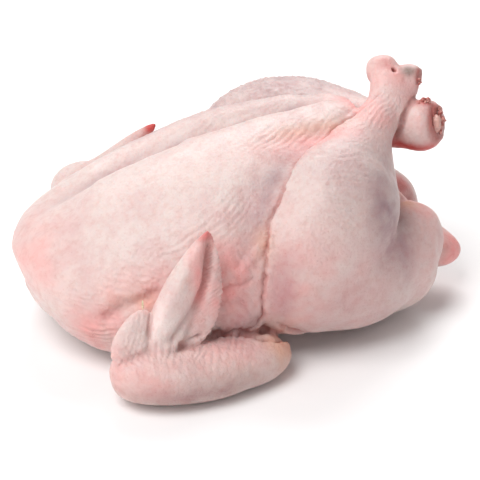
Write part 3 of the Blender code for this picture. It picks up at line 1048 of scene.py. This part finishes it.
def wet_material(name, colour, dark, grain_size):
    """Cut flesh, cartilage or horn: moist, so it has small sharp highlights, with darker streaks."""
    material, tree, place = new_material(name)
    streaks = node(
        tree, "ShaderNodeTexNoise", Vector=place, Scale=1 / grain_size, Detail=4.0, Roughness=0.6
    ).outputs["Fac"]
    amount = node(tree, "ShaderNodeMapRange", Value=streaks, From_Min=0.40, From_Max=0.62).outputs[0]
    tint = node(
        tree, "ShaderNodeMix", {"data_type": "RGBA"}, i0=amount, i6=to_linear(colour), i7=to_linear(dark)
    )
    bump = node(tree, "ShaderNodeBump", Strength=0.6, Distance=0.8 * MM, Height=streaks)
    shader = node(
        tree,
        "ShaderNodeBsdfPrincipled",
        Base_Color=tint.outputs[2],
        Roughness=0.28,
        IOR=1.42,
        Subsurface_Weight=0.2,
        Subsurface_Radius=(1.0, 0.35, 0.28),
        Subsurface_Scale=0.003,
        Normal=bump.outputs[0],
    )
    node(tree, "ShaderNodeOutputMaterial", Surface=shader.outputs[0])
    return material


class TurkeySkinSettings(bpy.types.PropertyGroup):
    voxel: bpy.props.FloatProperty(
        name="Voxel", description="Size of the cells of the skin", default=1.25 * MM, unit="LENGTH"
    )
    triangles: bpy.props.IntProperty(
        name="Triangles", description="How many triangles the finished skin has", default=196000
    )
    relax_rounds: bpy.props.IntProperty(
        name="Relax Rounds", description="How often the skin is relaxed over the muscles", default=6
    )
    fold_deepening: bpy.props.FloatProperty(
        name="Fold Deepening", description="How far the skin sinks in folds", default=3.6 * MM, unit="LENGTH"
    )
    fold_radius: bpy.props.FloatProperty(
        name="Fold Radius", description="How tight a hollow sinks in fully", default=9 * MM, unit="LENGTH"
    )
    wrinkle_strength: bpy.props.FloatProperty(
        name="Wrinkles", description="Depth of the fine wrinkles, as a share of their real depth", default=1.0
    )
    pimple_spacing: bpy.props.FloatProperty(
        name="Pimple Spacing", description="Distance between feather pits", default=5.2 * MM, unit="LENGTH"
    )
    pimple_height: bpy.props.FloatProperty(
        name="Pimple Height", description="Height of the feather bumps", default=0.5 * MM, unit="LENGTH"
    )


# Each colour's use, and the colour.
COLOURS = {
    "pale": ("Skin over the breast", "#dbc8c3"),
    "pink": ("Skin where more blood shows", "#d3b3b0"),
    # Painted highlight: this colour lightens the skin where it should look more brightly lit.
    "light": ("Skin stretched thin over fat and bone", "#efe0dc"),
    "flush": ("Pink of the neck, armpits and keel", "#ee9f9b"),
    # This colour is both the legs' dark meat showing through the skin and painted shade on surfaces turned
    # away from the light.
    "mauve": ("Dark meat showing through the skin of the legs", "#9a7a80"),
    "raw": ("Wing tips, tail and cut edges", "#c65350"),
    "fat": ("Fat under the skin", "#e3ac8c"),
    # The grey-brown of the top of the near leg's outer knob.
    "cap": ("Worn cap of the near leg's outer knob", "#8f7b73"),
    # Painted shade: this colour is laid into the bottoms of folds and wrinkles.
    "crease": ("Bottoms of folds and wrinkles", "#b0635c"),
    "cut": ("Flesh where the feet were cut off", "#b0655e"),
    "blotch": ("Tint of the small blotches", "#e6b4ae"),
    "pore": ("Tint of the feather pits", "#d9978f"),
    "flesh": ("Shreds of flesh at the cuts", "#d59a90"),
    "blood": ("Streaks in that flesh", "#a2453f"),
    "cartilage": ("End of the far leg's bone", "#d8aa9f"),
    "sinew": ("Streaks in that cartilage", "#c9948b"),
    "quill": ("Stub of a feather", "#e6dcc0"),
    "horn": ("Streaks in that quill", "#c9b48e"),
}


class TurkeyColours(bpy.types.PropertyGroup):
    __annotations__ = {
        name: bpy.props.StringProperty(name=name.title(), description=description, default=colour)
        for name, (description, colour) in COLOURS.items()
    }


class TurkeyStageSettings(bpy.types.PropertyGroup):
    azimuth: bpy.props.FloatProperty(
        name="Azimuth", description="Turn round the bird", default=np.radians(-13.0), subtype="ANGLE"
    )
    elevation: bpy.props.FloatProperty(
        name="Elevation", description="How far it looks down", default=np.radians(28.0), subtype="ANGLE"
    )
    distance: bpy.props.FloatProperty(
        name="Distance", description="From the camera to the bird", default=2.0, unit="LENGTH"
    )
    lens: bpy.props.FloatProperty(name="Lens", description="Focal length in millimetres", default=174.45)
    key_power: bpy.props.FloatProperty(name="Key Power", description="Large light, in watts", default=61.0)
    side_power: bpy.props.FloatProperty(name="Side Power", description="Neck end, in watts", default=16.0)
    back_power: bpy.props.FloatProperty(name="Back Power", description="Light behind, in watts", default=52.0)
    surroundings: bpy.props.FloatProperty(name="Surroundings", description="Their strength", default=0.38)
    sweep: bpy.props.StringProperty(name="Sweep", description="Colour of the floor", default="#fbfafa")


class TURKEY_OT_skin(bpy.types.Operator):
    """Fuse the muscles, draw one skin over them and sculpt it"""

    bl_idname = "turkey.skin"
    bl_label = "Skin"

    def execute(self, context):
        sizes = context.scene.turkey_skin
        bird = trunk("turkey_skin")
        context.scene.collection.objects.link(bird)
        join(bird, muscles())
        remesh = bird.modifiers.new("skin", "REMESH")
        remesh.mode = "VOXEL"
        remesh.voxel_size = sizes.voxel
        apply_modifiers(bird)
        skin = Skin(bird, sizes.voxel)
        skin.relax(np.ones(len(skin.points)), sizes.relax_rounds)
        for middle, radius, rounds in TAUT_SKIN:
            gap = np.linalg.norm(skin.points - metres(middle), axis=1)
            skin.relax(np.exp(-((gap / (radius * MM)) ** 4)), rounds)
        fill_creases(skin)
        draw_folds(skin, sizes.fold_deepening, sizes.fold_radius)
        skin.relax(np.ones(len(skin.points)), 2)
        dark = draw_laps(skin)
        draw_lumps(skin)
        cut = draw_cuts(skin)
        draw_wrinkles(skin, sizes.wrinkle_strength)
        draw_pimples(skin, sizes.pimple_spacing, sizes.pimple_height)
        draw_feather_edges(skin)
        skin.points[:, 2] = skin.points[:, 2].clip(FLOOR_CLEARANCE)
        skin.write()
        write_attribute(bird, "cut", cut)
        # Painted shade: darker, redder colour in tight hollows and in the groove where one fold lies over
        # another.
        write_attribute(bird, "crease", np.maximum(0.5 * skin.hollows(CREASE_SHADE_RADIUS), 0.75 * dark))
        faces = sum(len(face.vertices) - 2 for face in bird.data.polygons)
        lighten = bird.modifiers.new("lighten", "DECIMATE")
        lighten.ratio = min(1.0, sizes.triangles / faces)
        apply_modifiers(bird)
        write_masks(bird)
        context.scene["turkey_move"] = list(to_row_frame(bird))
        bird.data.shade_smooth()
        bird.data.materials.append(skin_material(context.scene.turkey_colours))
        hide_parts("turkey")
        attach(bird, "root")
        return {"FINISHED"}


def lump(name, middle, half_sizes, roughness, seed):
    """A closed, uneven ball. roughness is the height of its bumps as a share of its size."""
    obj, sphere = ball(name, 40, 48)
    uneven = 1 + roughness * (noise(sphere * 2.2, 1.0, seed) + 0.5 * noise(sphere * 5.0, 1.0, seed + 1))
    move = Vector(bpy.context.scene["turkey_move"])
    move_points(obj, sphere * uneven[:, None] * metres(half_sizes) + metres(middle) + np.array(move))
    obj.data.shade_smooth()
    bpy.context.scene.collection.objects.link(obj)
    return obj


def crumbs(name, line, spread, size, count, seed):
    """Small uneven lumps of flesh strewn along a line."""
    knots = np.linspace(0, 1, len(line))
    move = np.array(bpy.context.scene["turkey_move"])
    together = bmesh.new()
    for number in range(count):
        cell = np.array([[number, seed, 0]])
        aside = np.array([scattered(cell, k)[0] - 0.5 for k in (2, 3, 4)])
        place = smooth_values(knots, metres(line), np.array([(number + 0.5) / count]))[0]
        place = place + 2 * spread * aside
        stretch = np.array([0.6 + 0.9 * scattered(cell, k)[0] for k in (5, 6, 7)])
        share = (0.6 + 0.8 * scattered(cell, 1)[0]) * stretch
        crumb, sphere = ball(name, 12, 16)
        uneven = 1 + 0.6 * noise(sphere * 1.9 + number, 1.0, seed)
        move_points(crumb, sphere * uneven[:, None] * share * size + place + move)
        together.from_mesh(crumb.data)
        bpy.data.objects.remove(crumb)
    obj = new_object(name, together)
    obj.data.shade_smooth()
    bpy.context.scene.collection.objects.link(obj)
    return obj


def finish_piece(obj, material):
    obj.data.materials.append(material)
    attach(obj, "root")


class TURKEY_OT_leg_ends(bpy.types.Operator):
    """Add the flesh and the cartilage that show at the cut ends of the legs"""

    bl_idname = "turkey.leg_ends"
    bl_label = "Leg Ends"

    def execute(self, context):
        colours = context.scene.turkey_colours
        flesh = wet_material("cut poultry flesh", colours.flesh, colours.blood, 3 * MM)
        cartilage = wet_material("poultry cartilage", colours.cartilage, colours.sinew, 6 * MM)
        for name, (line, spread, size, count) in SHREDS.items():
            finish_piece(crumbs(name, line, spread * MM, size * MM, count, 5), flesh)
        knob = lump("far_hock_cartilage", (171.2, -21.5, 166.5), (5.2, 6, 8), 0.14, 9)
        finish_piece(knob, cartilage)
        return {"FINISHED"}


class TURKEY_OT_quills(bpy.types.Operator):
    """Add the stub of a feather that is left in the skin of the thumb"""

    bl_idname = "turkey.quills"
    bl_label = "Quills"

    def execute(self, context):
        # Horn: hard and slightly glossy.
        colours = context.scene.turkey_colours
        material = wet_material("feather quill", colours.quill, colours.horn, 2 * MM)
        quill = lump("thumb_quill", (-105.8, -134.5, 87.5), (0.9, 0.8, 4.5), 0.0, 1)
        finish_piece(quill, material)
        return {"FINISHED"}


def area_light(name, power):
    light = bpy.data.lights.new(name, "AREA")
    light.shape = "DISK"
    light.size = LIGHT_SIZE
    light.energy = power
    obj = bpy.data.objects.new(name, light)
    obj.location = LIGHTS[name]
    obj.rotation_euler = (Vector(LIGHT_AIM) - obj.location).to_track_quat("-Z", "Y").to_euler()
    bpy.context.scene.collection.objects.link(obj)


class TURKEY_OT_stage(bpy.types.Operator):
    """Add the pale floor, the soft lights and the camera"""

    bl_idname = "turkey.stage"
    bl_label = "Stage"

    def execute(self, context):
        stage = context.scene.turkey_stage
        bm = bmesh.new()
        bmesh.ops.create_grid(bm, x_segments=1, y_segments=1, size=FLOOR_SIZE)
        floor = new_object("floor", bm)
        material = bpy.data.materials.new("white sweep")
        material.use_nodes = True
        shader = material.node_tree.nodes["Principled BSDF"]
        shader.inputs["Base Color"].default_value = to_linear(stage.sweep)
        shader.inputs["Roughness"].default_value = 0.8
        floor.data.materials.append(material)
        context.scene.collection.objects.link(floor)
        world = bpy.data.worlds.new("studio")
        world.use_nodes = True
        background = world.node_tree.nodes["Background"]
        background.inputs["Color"].default_value = to_linear("#ffffff")
        background.inputs["Strength"].default_value = stage.surroundings
        context.scene.world = world
        for name in LIGHTS:
            area_light(name, getattr(stage, f"{name}_power"))
        camera_data = bpy.data.cameras.new("camera")
        camera_data.lens = stage.lens
        camera = bpy.data.objects.new("camera", camera_data)
        level = np.cos(stage.elevation)
        turn = stage.azimuth
        back = Vector((np.sin(turn) * level, -np.cos(turn) * level, np.sin(stage.elevation)))
        aim = Vector(AIM) + Vector(context.scene["turkey_move"])
        camera.location = aim + back * stage.distance
        camera.rotation_euler = (-back).to_track_quat("-Z", "Y").to_euler()
        context.scene.collection.objects.link(camera)
        context.scene.camera = camera
        context.scene.view_settings.view_transform = "Standard"
        return {"FINISHED"}


class TURKEY_PT_panel(bpy.types.Panel):
    bl_label = "Whole Raw Turkey"
    bl_idname = "TURKEY_PT_panel"
    bl_space_type = "VIEW_3D"
    bl_region_type = "UI"
    bl_category = "Turkey"

    def draw(self, context):
        for operator in (TURKEY_OT_skin, TURKEY_OT_leg_ends, TURKEY_OT_quills, TURKEY_OT_stage):
            self.layout.operator(operator.bl_idname)


CLASSES = (
    TurkeySkinSettings,
    TurkeyColours,
    TurkeyStageSettings,
    TURKEY_OT_skin,
    TURKEY_OT_leg_ends,
    TURKEY_OT_quills,
    TURKEY_OT_stage,
    TURKEY_PT_panel,
)


def register():
    for item in CLASSES:
        bpy.utils.register_class(item)
    bpy.types.Scene.turkey_skin = bpy.props.PointerProperty(type=TurkeySkinSettings)
    bpy.types.Scene.turkey_colours = bpy.props.PointerProperty(type=TurkeyColours)
    bpy.types.Scene.turkey_stage = bpy.props.PointerProperty(type=TurkeyStageSettings)


def unregister():
    del bpy.types.Scene.turkey_stage
    del bpy.types.Scene.turkey_colours
    del bpy.types.Scene.turkey_skin
    for item in reversed(CLASSES):
        bpy.utils.unregister_class(item)


def main():
    register()
    bpy.ops.turkey.skin()
    bpy.ops.turkey.leg_ends()
    bpy.ops.turkey.quills()
    bpy.ops.turkey.stage()


if __name__ == "__main__":
    main()
